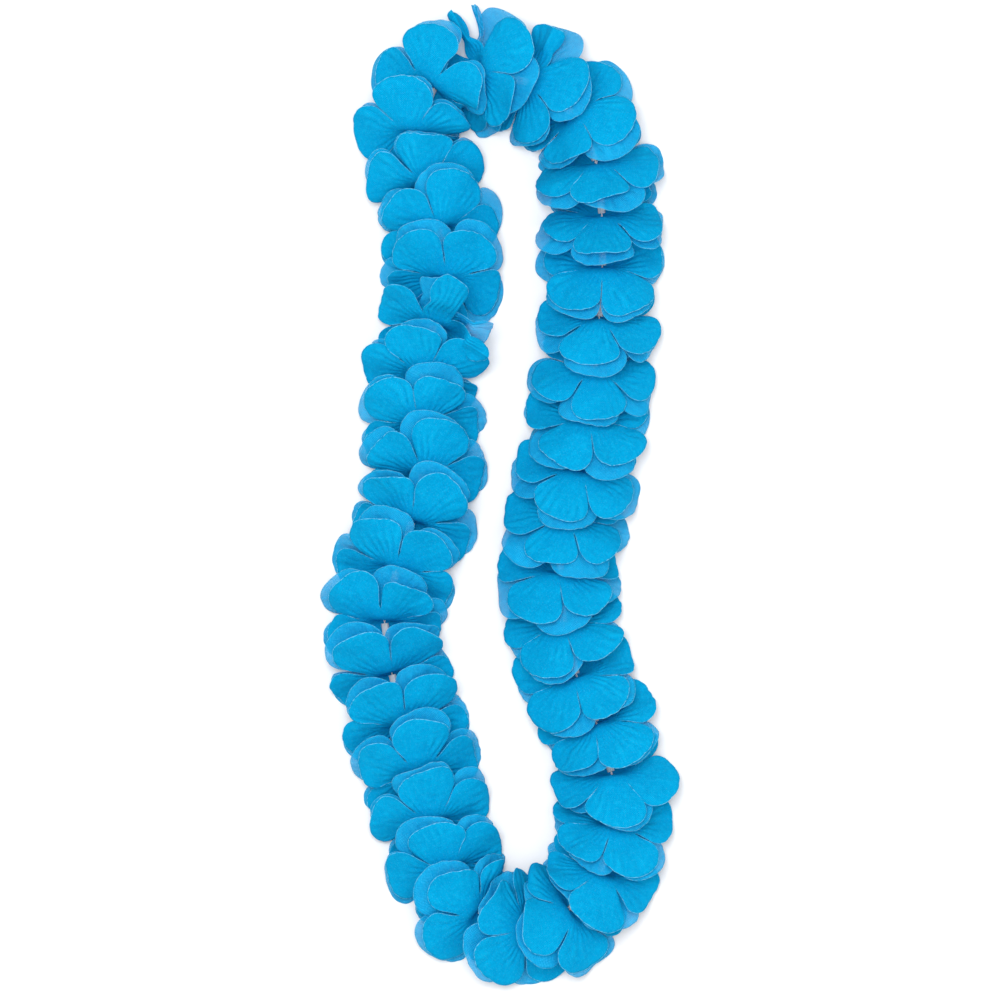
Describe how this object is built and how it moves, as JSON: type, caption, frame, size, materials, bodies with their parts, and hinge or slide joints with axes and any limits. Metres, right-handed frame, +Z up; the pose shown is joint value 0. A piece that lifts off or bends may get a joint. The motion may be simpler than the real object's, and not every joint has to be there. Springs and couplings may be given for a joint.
{
  "type": "artificial fabric flower lei",
  "caption": "Closed garland of overlapping five-petalled cloth flowers in two layers, threaded on a string with clear straw spacers and laid flat in a long loop.",
  "frame": {"origin": "middle of the lei's outline, on the surface that it lies on", "axes": "+Z up from the surface, +Y along the loop's long side, +X across it"},
  "size_m": [0.1762, 0.489, 0.0414],
  "materials": {
    "petal_cloth": "thin woven polyester, sky blue, matt, a little see-through",
    "string_and_straws": "clear glossy straw over white thread"
  },
  "bodies": {
    "root": {"bloom_01": "petal_cloth", "bloom_02": "petal_cloth", "bloom_03": "petal_cloth", "bloom_04": "petal_cloth", "bloom_05": "petal_cloth", "bloom_06": "petal_cloth", "bloom_07": "petal_cloth", "bloom_08": "petal_cloth", "bloom_09": "petal_cloth", "bloom_10": "petal_cloth", "bloom_11": "petal_cloth", "bloom_12": "petal_cloth", "bloom_13": "petal_cloth", "bloom_14": "petal_cloth", "bloom_15": "petal_cloth", "bloom_16": "petal_cloth", "bloom_17": "petal_cloth", "bloom_18": "petal_cloth", "bloom_19": "petal_cloth", "bloom_20": "petal_cloth", "bloom_21": "petal_cloth", "bloom_22": "petal_cloth", "bloom_23": "petal_cloth", "bloom_24": "petal_cloth", "bloom_25": "petal_cloth", "bloom_26": "petal_cloth", "bloom_27": "petal_cloth", "bloom_28": "petal_cloth", "bloom_29": "petal_cloth", "bloom_30": "petal_cloth", "bloom_31": "petal_cloth", "bloom_32": "petal_cloth", "bloom_33": "petal_cloth", "bloom_34": "petal_cloth", "bloom_35": "petal_cloth", "bloom_36": "petal_cloth", "bloom_37": "petal_cloth", "bloom_38": "petal_cloth", "string_with_spacer_straws": "string_and_straws"}
  },
  "joints": []
}
